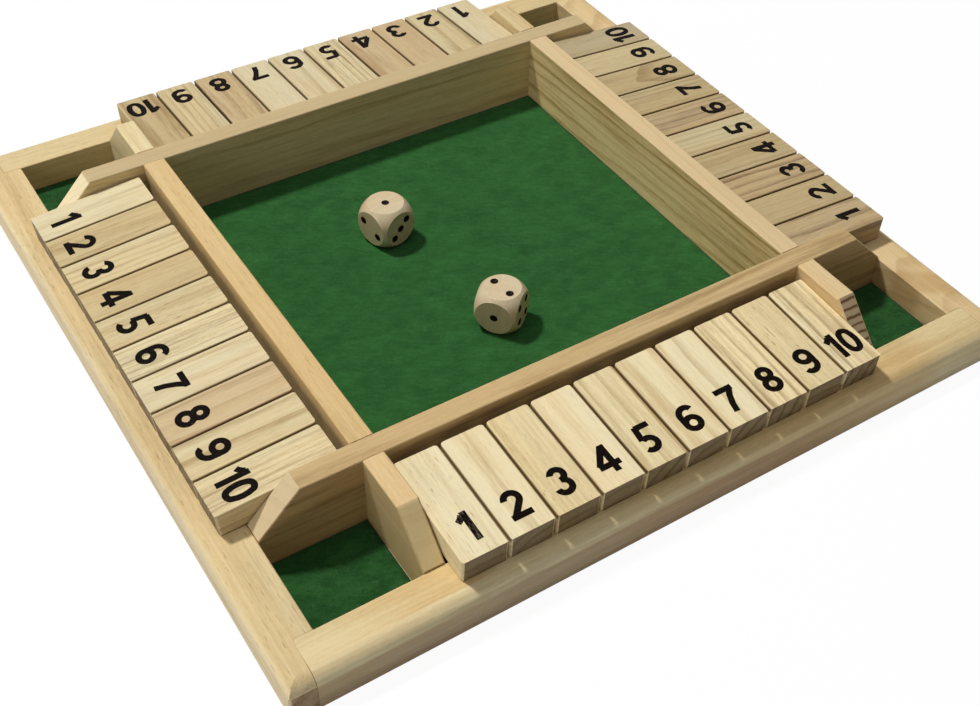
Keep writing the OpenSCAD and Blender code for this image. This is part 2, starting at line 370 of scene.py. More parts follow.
# %% Make the end grain
CUT_INSIDE = 0.06
end_grain, given, result = start_group("end_grain", [
    ("Place", "Vector"), ("Seed", "Float"), ("Color", "Color"), ("Late Wood", "Float"),
    ("Reach", "Float"), ("Lean", "Float", 1.0), ("Rise", "Float"), ("Shade", "Color", rgb(0.58, 0.50, 0.45)),
    ("Pores", "Float", 0.5), ("Wipe", "Float"), ("Bare", "Color"), ("Stripes", "Float", 0.3)],
    [("Color", "Color")])
tree = end_grain
place_mm = in_mm(tree, given["Place"])
axes = split(tree, place_mm)
across_cut = times(tree, calc(tree, "ABSOLUTE", axes["X"]), given["Lean"])
across_cut = calc(tree, "MULTIPLY_ADD", axes["Z"], given["Rise"], across_cut)
cut = calc(tree, "GREATER_THAN", across_cut, given["Reach"])
pores = spots(tree, place_mm, (1.6, 1.6, 1.6), given["Seed"], roughness=0.7)
shaded = tint(tree, 1.0, given["Color"], given["Shade"])
shaded = mix_colour(tree, given["Wipe"], shaded, given["Bare"])
stripes = times(tree, step(tree, given["Late Wood"], 0.0, 0.40), given["Stripes"])
shaded = tint(tree, stripes, shaded, rgb(0.34, 0.23, 0.17))
pores = times(tree, step(tree, pores, 0.45, 0.75), given["Pores"])
shaded = tint(tree, pores, shaded, rgb(0.6, 0.5, 0.42))
fill(tree, result, {"Color": mix_colour(tree, cut, given["Color"], shaded)})
print("end grain:", len(end_grain.nodes), "nodes")

# %% [markdown]
# ## One recipe for every board
#
# A piece of wood is described in words: a tone, which is a pale and a dark colour, and a
# figure. A figure says how far beside and below the piece the middle of its log lay, how
# fast the cones widen and how wide a ring is. Then come the strengths of the rings, the
# streaks and the flecks, and how far the rings wander. Lengths are in millimetres. The
# recipe turns the words into a material. A Mapping node carries the piece's place into
# the log, so the grain runs along the piece, whichever way it lies in the board.

# %% Write the wood recipe
TONES = {
    "white": ((0.83, 0.73, 0.47), (0.62, 0.49, 0.27)),
    "cream": ((0.78, 0.66, 0.39), (0.50, 0.37, 0.18)),
    "tan": ((0.69, 0.55, 0.30), (0.40, 0.28, 0.13)),
    "honey": ((0.70, 0.52, 0.26), (0.46, 0.31, 0.13)),
    "pink": ((0.71, 0.55, 0.32), (0.50, 0.34, 0.17)),
    "peach": ((0.75, 0.57, 0.31), (0.52, 0.36, 0.17)),
    "straw": ((0.70, 0.56, 0.31), (0.48, 0.35, 0.17)),
    "grey": ((0.63, 0.52, 0.32), (0.42, 0.32, 0.17)),
    "sand": ((0.61, 0.455, 0.235), (0.38, 0.26, 0.12)),
    "olive": ((0.77, 0.61, 0.30), (0.36, 0.25, 0.08)),
    "marked": ((0.86, 0.74, 0.45), (0.36, 0.25, 0.12)),
    "umber": ((0.70, 0.53, 0.29), (0.27, 0.18, 0.09)),
}
FIGURES = {
    "plain": (0, 95, 0.02, 6.5, 0.12, 0.25, 0.40, 3.2),
    "flecked": (0, 80, 0.02, 5, 0.18, 0.35, 0.90, 3.2),
    "streaked": (14, 26, 0.02, 5, 0.30, 0.75, 0.30, 3.2),
    "lined": (60, 18, 0.02, 2.6, 0.45, 0.40, 0.25, 3.2),
    "banded": (38, 30, 0.02, 5.2, 0.75, 0.45, 0.25, 3.2),
    "grooved": (40, 12, 0.02, 4.4, 0.95, 0.40, 0.35, 3.2),
    "arched": (2, 16, 0.10, 3.6, 0.65, 0.30, 0.25, 3.2),
    "ribbed": (44, 20, 0.03, 2.9, 0.75, 0.45, 0.15, 3.2),
    "stacked": (0, 60.6, 0.02, 2, 0.12, 0.10, 0.10, 1.8),
    "scribbled": (30, 45, 0.02, 8, 0.25, 0.40, 0.75, 3.2),
    "broad": (30, 45, 0.02, 9, 0.30, 0.22, 0.08, 3.2),
    "swirled": (6, 24, 0.34, 7.5, 0.50, 0.18, 0.08, 3.2),
}


def wood_material(name, look, seed, middle, turn=(0, 0, 0), cut=None, sheen=0.14, extra=None, shade=1.0):
    """Pine with a tone and a figure, centred on middle and turned with the piece.

    cut gives the end grain's plane, extra is a last step on the colour, and shade darkens it."""
    tone, figure = look.split()
    pale, dark = [rgb(*[shade * part for part in colour]) for colour in TONES[tone]]
    material, tree, shader = start_material(name)
    place = object_place(tree)
    grain = add_node(tree, "Mapping", {"Vector": place, "Location": middle, "Rotation": turn},
                     vector_type="TEXTURE").outputs[0]
    parts = dict(zip(FIGURE_PARTS, FIGURES[figure]))
    log = use_group(tree, pine, {"Place": grain, "Seed": seed, "Pale": pale, "Dark": dark, **parts})
    colour = log["Color"]
    if cut:
        inputs = {"Place": grain, "Seed": seed, "Color": colour, "Late Wood": log["Late Wood"], **cut}
        colour = use_group(tree, end_grain, inputs)["Color"]
    if extra:
        colour = extra(tree, place, grain, colour)
    bump = add_node(tree, "Bump", {"Height": log["Height"], "Strength": 0.35, "Distance": 0.12 * MM})
    fill(tree, shader, {"Base Color": colour, "Roughness": log["Roughness"], "Normal": bump.outputs[0],
                        "Specular IOR Level": sheen})
    return material


def dress(piece, material):
    """Gives a piece one material."""
    piece.data.materials.clear()
    piece.data.materials.append(material)


# %% [markdown]
# ## The outer rails
#
# The side rails run the whole depth of the board, and the ends of the front and back
# rails are let into notches in them. Glue and a hair of a gap make each joint a thin
# brown line on the top. It is far thinner than anything worth modelling, so it is
# painted by distance: the joint's outline has one rounded corner, and the wood darkens
# where the distance to that outline is about a tenth of a millimetre. The rounded outer
# edges and outer faces carry a painted highlight: they are painted paler and less
# yellow than the tops.
#
# The front rail changes along its length: its open top beside the first tile is honey
# yellow, its tone gets warmer towards the right, and its right end is pale again. Its
# outer face has painted shade, which fades out towards the right. One pinkish band of
# grain crosses the right rail.

# %% Finish the rails
rail_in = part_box("rail_front")[1].y / -MM
rail_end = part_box("rail_front")[1].x / MM
board_half = cad_high.x / MM
JOINT_ROUND = 1.4
JOINT_HALF_WIDTH = 0.11
HIGHLIGHT_STARTS, HIGHLIGHT_IS_FULL = board_half - 2.2, board_half - 0.4
PLACE_AND_COLOUR = [("Place", "Vector"), ("Color", "Color")]

joint_line, given, result = start_group("joint_line", PLACE_AND_COLOUR, [("Color", "Color")])
tree = joint_line
place_mm = in_mm(tree, given["Place"])
axes = split(tree, calc_vector(tree, "ABSOLUTE", place_mm))
past_end = calc(tree, "SUBTRACT", axes["X"], rail_end - JOINT_ROUND)
past_face = calc(tree, "SUBTRACT", rail_in + JOINT_ROUND, axes["Y"])
past_both = {"X": calc(tree, "MAXIMUM", past_end, 0.0), "Y": calc(tree, "MAXIMUM", past_face, 0.0)}
outside = add_node(tree, "CombineXYZ", past_both).outputs[0]
corner = add_node(tree, "VectorMath", {0: outside}, operation="LENGTH").outputs["Value"]
inside = calc(tree, "MINIMUM", calc(tree, "MAXIMUM", past_end, past_face), 0.0)
distance = calc(tree, "ABSOLUTE", calc(tree, "SUBTRACT", calc(tree, "ADD", corner, inside), JOINT_ROUND))
line = step(tree, distance, JOINT_HALF_WIDTH * 1.6, JOINT_HALF_WIDTH * 0.5)
line = times(tree, line, calc(tree, "GREATER_THAN", axes["X"], rail_in))
filled = spots(tree, place_mm, (0.12, 0.12, 0.12), 5.0, detail=1.0)
line = times(tree, line, step(tree, filled, 0.40, 0.62, 0.25, 0.9))
fill(tree, result, {"Color": mix_colour(tree, line, given["Color"], rgb(0.24, 0.14, 0.06))})

# Painted highlight: the outer 2.2 mm of the rails, rounded edges and outer faces, is painted paler and less
# yellow.
edge_wear, given, result = start_group("edge_wear", PLACE_AND_COLOUR, [("Color", "Color")])
tree = edge_wear
axes = split(tree, calc_vector(tree, "ABSOLUTE", given["Place"]))
outermost = calc(tree, "MAXIMUM", axes["X"], axes["Y"])
# how far into the painted highlight a place lies
worn = step(tree, outermost, HIGHLIGHT_STARTS * MM, HIGHLIGHT_IS_FULL * MM)
fill(tree, result, {"Color": tint(tree, worn, given["Color"], rgb(1.20, 1.28, 1.44))})


def rail_finish(tree, place, grain, colour):
    """The last steps on the colour of every rail: a painted highlight on the outer edges, and the joint
    lines.
    """
    colour = use_group(tree, edge_wear, {"Place": place, "Color": colour})["Color"]
    return use_group(tree, joint_line, {"Place": place, "Color": colour})["Color"]


def front_rail_finish(tree, place, grain, colour):
    """The front rail is warmer to the right, honey yellow on its open top, with painted shade on its outer
    face.
    """
    axes = split(tree, place)
    x, y, z = axes["X"], axes["Y"], axes["Z"]
    warm_part = step(tree, x, -90 * MM, 60 * MM)
    colour = tint(tree, warm_part, colour, rgb(0.90, 0.80, 0.68))
    pale_end = step(tree, x, 96 * MM, 114 * MM)
    colour = tint(tree, pale_end, colour, rgb(1.10, 1.21, 1.36))
    towards_tile = step(tree, x, -125 * MM, -86 * MM, 0.35, 1.0)
    open_part = times(tree, towards_tile, step(tree, x, -68 * MM, -78 * MM))
    flat_top = step(tree, y, -(board_half - 4.0) * MM, -(board_half - 5.4) * MM)
    colour = tint(tree, times(tree, open_part, flat_top), colour, rgb(0.91, 0.79, 0.64))
    # Painted shade on the lower part of the outer face, strongest from the left end to the middle.
    low = step(tree, z, 11.2 * MM, 9.6 * MM)
    outer = step(tree, y, -(board_half - 1.6) * MM, -(board_half - 0.8) * MM)
    shaded_outer_face = times(tree, low, outer)
    dark = times(tree, shaded_outer_face, step(tree, x, 20 * MM, 110 * MM, 1.0, 0.15))
    colour = tint(tree, dark, colour, rgb(0.64, 0.56, 0.52))
    return rail_finish(tree, place, grain, colour)


def right_rail_finish(tree, place, grain, colour):
    """One pinkish band of grain crosses the right rail aslant, near its front end."""
    axes = split(tree, place)
    aslant = calc(tree, "MULTIPLY_ADD", axes["X"], 0.66, axes["Y"])
    off_band = calc(tree, "ABSOLUTE", calc(tree, "ADD", aslant, 22.5 * MM))
    band = step(tree, off_band, 9.5 * MM, 4.0 * MM)
    colour = tint(tree, band, colour, rgb(0.84, 0.76, 0.67))
    return rail_finish(tree, place, grain, colour)


RAIL_FINISHES = {"front": front_rail_finish, "right": right_rail_finish}
RAIL_LOOKS = {"front": "cream broad", "right": "peach swirled",
              "back": "tan plain", "left": "straw scribbled"}
QUARTER = math.pi / 2
for number, (side, look) in enumerate(RAIL_LOOKS.items()):
    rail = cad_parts["rail_" + side]
    low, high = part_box(rail.name)
    middle = (low + high) / 2
    across = side in ("left", "right")
    cut = {"Reach": board_half - CUT_INSIDE} if across else None
    turn = (0, 0, QUARTER) if across else (0, 0, 0)
    seed = 3.1 + 7.7 * number
    finish = RAIL_FINISHES.get(side, rail_finish)
    dress(rail, wood_material("rail_" + side, look, seed, middle, turn, cut, extra=finish))
print("rails let in to", round(rail_end, 1), "mm")

# %% [markdown]
# ## Walls and end blocks
#
# The four inner walls hold the dice in. The long ones reach from rail to rail and end in
# a slope, and four short blocks with the same slope close the ends of the front and back
# rows. The slopes were sanded last, after the faces had been oiled, so most are paler.
# A slope also cuts through the rings, and on one block they show as bold stripes. The
# top of the right wall was sanded as well, down to one plain colour. The back wall's top
# is covered with a darker plain colour, and its inner faces are painted lighter, painted
# light. The faces of the front left block are painted darker, painted shade.

# %% Finish the walls and the blocks
def slope_cut(start, foot, top, bottom, bare=rgb(0.66, 0.52, 0.31), wipe=0.9, stripes=0.06):
    """The plane of a slope that falls from (start, top) to (foot, bottom)."""
    lean, rise = Vector((top - bottom, foot - start)).normalized()
    return {"Lean": lean, "Rise": rise, "Reach": lean * start + rise * top - CUT_INSIDE, "Pores": 0.12,
            "Shade": rgb(1, 1, 1), "Wipe": wipe, "Bare": bare, "Stripes": stripes}


WALL_TOP = cad_high.z / MM
SLOPE_FOOT = 15.1
WALL_SLOPE_RUN = 14.8
BLOCK_SLOPE_RUN = 14.5
WALL_SLOPE = slope_cut(rail_in - WALL_SLOPE_RUN, rail_in, WALL_TOP, SLOPE_FOOT)
WALL_LOOKS = {"front": "sand streaked", "right": "olive ribbed", "back": "sand lined", "left": "honey plain"}


def face_shade_and_top(faces=rgb(1, 1, 1), top=None, cover=0.0):
    """Tints a piece's faces, painted light or shade, and may cover its top with a plain colour."""
    def finish(tree, place, grain, colour):
        on_top = step(tree, split(tree, place)["Z"], (WALL_TOP - 0.9) * MM, (WALL_TOP - 0.2) * MM)
        colour = tint(tree, 1.0, colour, mix_colour(tree, on_top, faces, rgb(1, 1, 1)))
        if top:
            colour = mix_colour(tree, times(tree, on_top, cover), colour, top)
        return colour
    return finish


WALL_FINISHES = {
    "right": face_shade_and_top(top=rgb(0.68, 0.51, 0.29), cover=0.85),
    # The back wall's inner faces are painted lighter: painted light, as from the felt below.
    "back": face_shade_and_top(faces=rgb(1.28, 1.38, 1.46), top=rgb(0.52, 0.41, 0.235), cover=0.6),
}
for number, (side, look) in enumerate(WALL_LOOKS.items()):
    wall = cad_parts["inner_wall_" + side]
    low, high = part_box(wall.name)
    middle = Vector(((low.x + high.x) / 2, (low.y + high.y) / 2, 0))
    across = side in ("left", "right")
    turn, cut = ((0, 0, QUARTER), None) if across else ((0, 0, 0), WALL_SLOPE)
    seed = 41.7 + 5.3 * number
    finish = WALL_FINISHES.get(side)
    dress(wall, wood_material("wall_" + side, look, seed, middle, turn, cut, extra=finish))

BLOCK_LOOKS = {"front_left": "peach plain", "front_right": "peach stacked",
               "back_left": "cream plain", "back_right": "tan lined"}
# The front left block's faces are painted darker: painted shade.
BLOCK_FINISHES = {"front_left": face_shade_and_top(faces=rgb(0.76, 0.79, 0.74))}
SLOPES = {"front_left": {"bare": rgb(0.93, 0.70, 0.38)},
          # The front right slope's dark bare colour is painted shade on that slope.
          "front_right": {"bare": rgb(0.37, 0.285, 0.18), "wipe": 0.8, "stripes": 1.0},
          "back_left": {"bare": rgb(*TONES["cream"][0])},
          "back_right": {"bare": rgb(*TONES["tan"][0])}}
for number, (corner, look) in enumerate(BLOCK_LOOKS.items()):
    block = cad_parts["end_block_" + corner]
    low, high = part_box(block.name)
    outward = -1 if corner.startswith("front") else 1
    wall_face = high.y if outward < 0 else low.y
    length = (high.y - low.y) / MM
    cut = slope_cut(length - BLOCK_SLOPE_RUN, length, WALL_TOP, SLOPE_FOOT, **SLOPES[corner])
    middle = Vector(((low.x + high.x) / 2, wall_face, 0))
    turn = (0, 0, outward * QUARTER)
    seed = 71.3 + 3.9 * number
    finish = BLOCK_FINISHES.get(corner)
    dress(block, wood_material("block_" + corner, look, seed, middle, turn, cut, extra=finish))
print("slopes lean", round(math.degrees(math.atan2(WALL_SLOPE["Lean"], WALL_SLOPE["Rise"])), 1), "degrees")

# %% [markdown]
# ## The forty tiles
#
# Every tile is its own little offcut, so no two look alike: cream, tan or pinkish, plain
# or with dark lines. A row is written down as ten pairs of words. Each row also has a
# shade of its own: the front one is the palest, and the right and back ones the darkest.
# The edges where two tiles meet get painted shade, for the shadow down in the gap
# between them, and the free sides of a row's end tiles get none.
#
# Each tile lies tilted on its rail, so its own axes are measured from its mesh: the
# largest face that looks up gives the tilt, and the row's side gives the way inwards.

# %% Measure and finish the tiles
OUTWARD = {"front": (0, -1, 0), "right": (1, 0, 0), "back": (0, 1, 0), "left": (-1, 0, 0)}
ROW_SHADE = {"front": 1.04, "right": 0.77, "back": 0.79, "left": 0.87}
# how strong the painted shade in the gaps between tiles is, row by row
ROW_GAP_SHADE = {"front": 1.0, "right": 0.8, "back": 0.8, "left": 0.8}
TILE_END_SHADE = rgb(0.36, 0.31, 0.27)
TILE_LOOKS = {
    "front": "white flecked, white streaked, cream flecked, white plain, cream banded, "
             "white streaked, white banded, marked grooved, cream flecked, marked grooved",
    "right": "umber banded, tan plain, umber grooved, tan lined, cream lined, "
             "umber lined, tan lined, tan arched, cream plain, grey plain",
    "back": "white plain, cream banded, pink plain, pink streaked, marked lined, "
            "white banded, white plain, umber banded, cream lined, tan streaked",
    "left": "white streaked, tan streaked, cream lined, tan plain, cream flecked, "
            "marked lined, white streaked, pink banded, cream banded, marked lined",
}


def tile_axes(tile, side):
    """A matrix from the tile's own axes (inwards, across, up) to the board, and half its sizes."""
    face = max(tile.data.polygons, key=lambda polygon: polygon.area * polygon.normal.z)
    up = face.normal.normalized()
    inward = -Vector(OUTWARD[side])
    inward = (inward - up * inward.dot(up)).normalized()
    axes = Matrix((inward, up.cross(inward), up)).transposed()
    spread = [axes.transposed() @ vertex.co for vertex in tile.data.vertices]
    low = Vector([min(v[k] for v in spread) for k in range(3)])
    high = Vector([max(v[k] for v in spread) for k in range(3)])
    return Matrix.Translation(axes @ ((low + high) / 2)) @ axes.to_4x4(), (high - low) / 2


# Painted shade for the gaps: a tile's side is darkened near its edge and within two millimetres of its top.
gap_shade, given, result = start_group("gap_shade", PLACE_AND_COLOUR + [
    ("Half Across", "Float"), ("Half Up", "Float"), ("Lower Side", "Float"), ("Upper Side", "Float")],
    [("Color", "Color")])
tree = gap_shade
axes = split(tree, in_mm(tree, given["Place"]))
below_top = calc(tree, "SUBTRACT", given["Half Up"], axes["Z"])
band = step(tree, below_top, 2.2, 1.0)
sides = []
for way, flag in ((-1.0, "Lower Side"), (1.0, "Upper Side")):
    inside = calc(tree, "MULTIPLY_ADD", axes["Y"], way, given["Half Across"])
    sides.append(times(tree, step(tree, inside, 0.50, 0.12), given[flag]))
band = times(tree, band, calc(tree, "MAXIMUM", sides[0], sides[1]))
fill(tree, result, {"Color": tint(tree, band, given["Color"], rgb(0.34, 0.27, 0.19))})


def shaded_gap_edges(half, number, strength):
    """The last step on a tile's colour: painted shade on the edges where another tile lies beside it."""
    values = {"Half Across": half.y / MM, "Half Up": half.z / MM,
              "Lower Side": strength * (number > 1), "Upper Side": strength * (number < 10)}

    def finish(tree, place, grain, colour):
        return use_group(tree, gap_shade, {"Place": grain, "Color": colour, **values})["Color"]
    return finish


tile_places = {}
for row, (side, looks) in enumerate(TILE_LOOKS.items()):
    for number, look in enumerate(looks.split(", "), start=1):
        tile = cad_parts[f"tile_{side}_{number}"]
        place, half = tile_axes(tile, side)
        tile_places[tile.name] = place, half
        cut = {"Reach": half.x / MM - CUT_INSIDE, "Shade": TILE_END_SHADE}
        seed = 101.9 + 13.7 * row + 2.3 * number
        finish = shaded_gap_edges(half, number, ROW_GAP_SHADE[side])
        dress(tile, wood_material(tile.name, look, seed, place.translation, place.to_euler(), cut,
                                  extra=finish, shade=ROW_SHADE[side]))
tilt = math.degrees(math.acos(tile_places["tile_front_1"][0].col[2].z))
print(len(tile_places), "tiles, tilted", round(tilt, 2), "degrees")
print("half of a tile", [round(v / MM, 2) for v in half], "mm")

# %% [markdown]
# ## Under the board
#
# Nobody sees the base panel in play, but it is there when the board is picked up: a thin
# plywood sheet. Its face is a veneer peeled off the log, so the pattern is wide and
# flame-shaped. The same log gives that, with its middle close under the face and a
# strong cone.

# %% Finish the base panel
FIGURES["peeled"] = (4, 20, 0.16, 7, 0.45, 0.35, 0.50, 3.2)
TONES["birch"] = (0.72, 0.56, 0.36), (0.55, 0.39, 0.22)
plywood = wood_material("plywood", "birch peeled", 9.4, (0, 12 * MM, 0), sheen=0.15)
dress(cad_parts["base_panel"], plywood)

# %% [markdown]
# ## The steel rods
#
# The tiles turn on plain drawn rods. Only glints of them show in the gaps. Drawing
# leaves fine scratches along the rod, so the roughness is noise that changes quickly
# round it and slowly along it.

# %% Finish the rods
for side in OUTWARD:
    steel, tree, shader = start_material("rod_steel_" + side)
    place_mm = in_mm(tree, object_place(tree))
    along = (0.02, 9.0, 9.0) if side in ("front", "back") else (9.0, 0.02, 9.0)
    scratch = spots(tree, place_mm, along, 2.0)
    colour = mix_colour(tree, scratch, rgb(0.52, 0.52, 0.51), rgb(0.66, 0.65, 0.63))
    matt = step(tree, scratch, 0.3, 0.7, 0.22, 0.42)
    fill(tree, shader, {"Base Color": colour, "Roughness": matt, "Metallic": 1.0})
    dress(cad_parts["rod_" + side], steel)

# %% [markdown]
# ## Felt
#
# The floor is lined with nine pieces of green felt: the dice tray, the four channels
# under the tiles, and the four corner pockets. The CAD model only holds their places, as
# flat slabs. Felt is pressed loose fibre, so each new piece is a fine grid whose
# surface dips and rises by a few hundredths of a millimetre, in wide dips and small ones.
# Its thickness comes from a Solidify modifier, less a little to spare for the dips. Each
# piece is told apart in the CAD mesh as an island: a set of faces joined by edges.

# %% Cut the felt
FELT_GRID = 1.8 * MM
FELT_THICK = 0.8 * MM
FELT_DIPS = {4 * MM: 0.04 * MM, 1.3 * MM: 0.02 * MM}  # how deep the dips of each width are
DEEPEST = sum(FELT_DIPS.values())
SPARE = 0.08 * MM


def islands(mesh_object):
    """Boxes round the separate parts of a mesh, in the order of the mesh's own vertices."""
    work = bmesh.new()
    work.from_mesh(mesh_object.data)
    bmesh.ops.remove_doubles(work, verts=work.verts, dist=0.001 * MM)
    boxed, boxes = set(), []
    for start in work.verts:
        if start in boxed:
            continue
        reached, fresh = set(), [start]
        while fresh:
            vertex = fresh.pop()
            reached.add(vertex)
            beside = [edge.other_vert(vertex) for edge in vertex.link_edges]
            fresh += [other for other in beside if other not in reached]
        boxed |= reached
        boxes.append((Vector([min(v.co[k] for v in reached) for k in range(3)]),
                      Vector([max(v.co[k] for v in reached) for k in range(3)])))
    work.free()
    return boxes


def felt_sheet(name, low, high):
    """A sheet of felt that fills the box from low to high."""
    size, middle = high - low, (low + high) / 2
    sheet = bmesh.new()
    top = Matrix.Translation((middle.x, middle.y, high.z - DEEPEST))
    spread = top @ Matrix.Diagonal((size.x, size.y, 1, 1))
    columns, rows = round(size.x / FELT_GRID), round(size.y / FELT_GRID)
    bmesh.ops.create_grid(sheet, x_segments=columns, y_segments=rows, size=0.5, matrix=spread)
    for vertex in sheet.verts:
        vertex.co.z += sum(depth * noise.noise(vertex.co / width) for width, depth in FELT_DIPS.items())
    mesh = bpy.data.meshes.new(name)
    sheet.to_mesh(mesh)
    sheet.free()
    for polygon in mesh.polygons:
        polygon.use_smooth = True
    piece = bpy.data.objects.new(name, mesh)
    scene.collection.objects.link(piece)
    thickness = piece.modifiers.new("thickness", "SOLIDIFY")
    thickness.thickness = FELT_THICK - SPARE
    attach(piece, "tray")
    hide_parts("felt_lining")
    return piece


def felt_name(low, high):
    """Names a felt piece from where it lies."""
    middle, size, aside = (low + high) / 2, high - low, 50 * MM
    if min(size.x, size.y) > 2 * aside:
        return "felt_tray"
    ends = ["front" if middle.y < -aside else "back" if middle.y > aside else "",
            "left" if middle.x < -aside else "right" if middle.x > aside else ""]
    kind = "felt_pocket" if all(ends) else "felt_channel"
    return "_".join([kind] + [end for end in ends if end])


felt_boxes = islands(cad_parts["felt_lining"])
felt_pieces = [felt_sheet(felt_name(low, high), low, high) for low, high in felt_boxes]
for piece in felt_pieces:
    print(piece.name, [round(v / MM, 1) for v in piece.dimensions])

# %% [markdown]
# ## The look of felt
#
# Close up, felt is a mat of tangled hairs. Four things make it read as felt rather
# than green paint: soft cloudy patches where the mat is thicker, a nap that was brushed
# one way, thin curved hairs that catch the light, and a surface with hardly any shine.
# A hair is a thin ridge of noise: the line where the noise passes its middle value.

# %% Finish the felt
FELT_GREENS = (0.024, 0.100, 0.025), (0.040, 0.150, 0.038), (0.070, 0.20, 0.070)
NAP_ANGLE = math.radians(33)


def felt_material(name, clouds, shade, seed, hairy=0.35):
    """Green felt. clouds is how strong its patches are, hairy its hairs, and shade darkens all of it."""
    material, tree, shader = start_material(name)
    place_mm = in_mm(tree, object_place(tree))
    dark, light, hair = [rgb(*[shade * part for part in green]) for green in FELT_GREENS]
    patch = spots(tree, place_mm, (0.11, 0.16, 0.1), seed, detail=4.0, roughness=0.65)
    colour = mix_colour(tree, step(tree, patch, 0.5 - 0.3 / clouds, 0.5 + 0.3 / clouds), dark, light)
    hairs = None
    for turn, per_mm in enumerate(((0.35, 0.5, 0.4), (0.7, 0.45, 0.5))):
        strand = spots(tree, place_mm, per_mm, seed + 3 + turn, detail=1.5, roughness=0.4)
        strand = step(tree, calc(tree, "ABSOLUTE", calc(tree, "SUBTRACT", strand, 0.5)), 0.022, 0.006)
        patchy = spots(tree, place_mm, (0.2, 0.2, 0.2), seed + 7 + turn)
        strand = times(tree, strand, step(tree, patchy, 0.45, 0.65))
        hairs = strand if hairs is None else calc(tree, "MAXIMUM", hairs, strand)
    colour = mix_colour(tree, times(tree, hairs, hairy), colour, hair)
    turned_place = {"Vector": place_mm, "Angle": NAP_ANGLE}
    combed = add_node(tree, "VectorRotate", turned_place, rotation_type="Z_AXIS").outputs[0]
    nap = spots(tree, combed, (0.22, 0.9, 0.5), seed + 9, detail=3.0, roughness=0.7)
    colour = tint(tree, step(tree, nap, 0.38, 0.62, 0.0, 0.7), colour, rgb(0.66, 0.74, 0.68))
    fine = spots(tree, place_mm, (2.2, 2.2, 2.2), seed + 11, detail=3.0, roughness=0.7)
    colour = tint(tree, step(tree, fine, 0.35, 0.65, 0.0, 0.5), colour, rgb(0.55, 0.62, 0.55))
    rise = calc(tree, "MULTIPLY_ADD", hairs, 0.6, fine)
    bump = add_node(tree, "Bump", {"Height": rise, "Strength": 0.6, "Distance": 0.25 * MM})
    fill(tree, shader, {"Base Color": colour, "Normal": bump.outputs[0], "Roughness": 1.0,
                        "Specular IOR Level": 0.0, "Sheen Weight": 0.04, "Sheen Roughness": 0.6})
    return material


tray_felt = felt_material("felt_tray", 1.0, 1.0, 4.0)
# The side pieces lie in the shade of the walls, blocks and tiles, so their felt is painted darker: painted
# shade.
shaded_side_felt = felt_material("felt_side", 2.0, 0.70, 19.0, hairy=0.7)
for piece in felt_pieces:
    dress(piece, tray_felt if piece.name == "felt_tray" else shaded_side_felt)

# %% [markdown]
# ## The numbers
#
# The numbers are printed in black on the outer half of each tile, and read from outside
# the board. They are simple bold figures of one stroke width, like those of a wide
# felt pen. So they are drawn with a pen: a short edge is the nib. Along a straight it is
# extruded, and round a bend it is spun about the bend's centre. The strokes of one
# figure are joined with a Boolean, so that no two faces lie on each other.

# %% Make the pen
NIB = 2.1
INK_THICK = 0.09
BEND_STEP = math.radians(9)
VERTEX, EDGE = bmesh.types.BMVert, bmesh.types.BMEdge


def pick(kind, geometry):
    """The vertices or the edges in a list of both."""
    return [part for part in geometry if isinstance(part, kind)]


def draw_stroke(x, y, heading, *moves):
    """Draws one stroke, in millimetres. A move is a length to go, or (radius, turn) to bend.

    Headings and turns are in degrees, and a turn to the left is positive."""
    pen = bmesh.new()
    spot, way = Vector((x, y, 0)), math.radians(heading)
    side = Vector((-math.sin(way), math.cos(way), 0)) * NIB / 2
    edge = pen.edges.new([pen.verts.new(spot + side), pen.verts.new(spot - side)])
    for move in moves:
        forward = Vector((math.cos(way), math.sin(way), 0))
        left = Vector((-math.sin(way), math.cos(way), 0))
        if isinstance(move, tuple):
            radius, turn = move[0], math.radians(move[1])
            centre = spot + left * math.copysign(radius, turn)
            count = max(2, round(abs(turn) / BEND_STEP))
            drawn = bmesh.ops.spin(pen, geom=[edge, *edge.verts], cent=centre, axis=(0, 0, 1), angle=turn,
                                   steps=count, use_duplicate=False)["geom_last"]
            spot = centre + Matrix.Rotation(turn, 3, "Z") @ (spot - centre)
            way += turn
        else:
            drawn = bmesh.ops.extrude_edge_only(pen, edges=[edge])["geom"]
            ends = pick(VERTEX, drawn)
            bmesh.ops.translate(pen, verts=ends, vec=forward * move)
            spot = spot + forward * move
            drawn = [drawn_edge for drawn_edge in pick(EDGE, drawn) if set(drawn_edge.verts) == set(ends)]
        edge = pick(EDGE, drawn)[0]
    bmesh.ops.remove_doubles(pen, verts=pen.verts, dist=0.01)
    raised = bmesh.ops.extrude_face_region(pen, geom=pen.faces[:])["geom"]
    bmesh.ops.translate(pen, verts=pick(VERTEX, raised), vec=(0, 0, INK_THICK))
    bmesh.ops.recalc_face_normals(pen, faces=pen.faces)
    mesh = bpy.data.meshes.new("stroke")
    pen.to_mesh(mesh)
    pen.free()
    return mesh


def join_strokes(name, strokes):
    """Unites strokes into one flat figure, and returns its mesh."""
    meshes = [draw_stroke(*stroke) for stroke in strokes]
    parts = [bpy.data.objects.new(name, mesh) for mesh in meshes]
    for part in parts:
        scene.collection.objects.link(part)
    for part in parts[1:]:
        union = parts[0].modifiers.new("union", "BOOLEAN")
        union.operation, union.solver, union.object = "UNION", "EXACT", part
    ready = parts[0].evaluated_get(bpy.context.evaluated_depsgraph_get())
    figure = bpy.data.meshes.new_from_object(ready)
    for part in parts:
        bpy.data.objects.remove(part)
    return figure


# %% [markdown]
# ## Drawing ten figures
#
# Each figure is written as strokes on squared paper, in millimetres from its lower left
# corner. The nine is the six turned half round, and the ten is the one beside a nought.
# Real figures lean on circles: the bowls of 2, 3, 5, 6, 8 and 9 are bends with a radius
# of 2 to 3 mm, and the nought is an oval of four arcs.

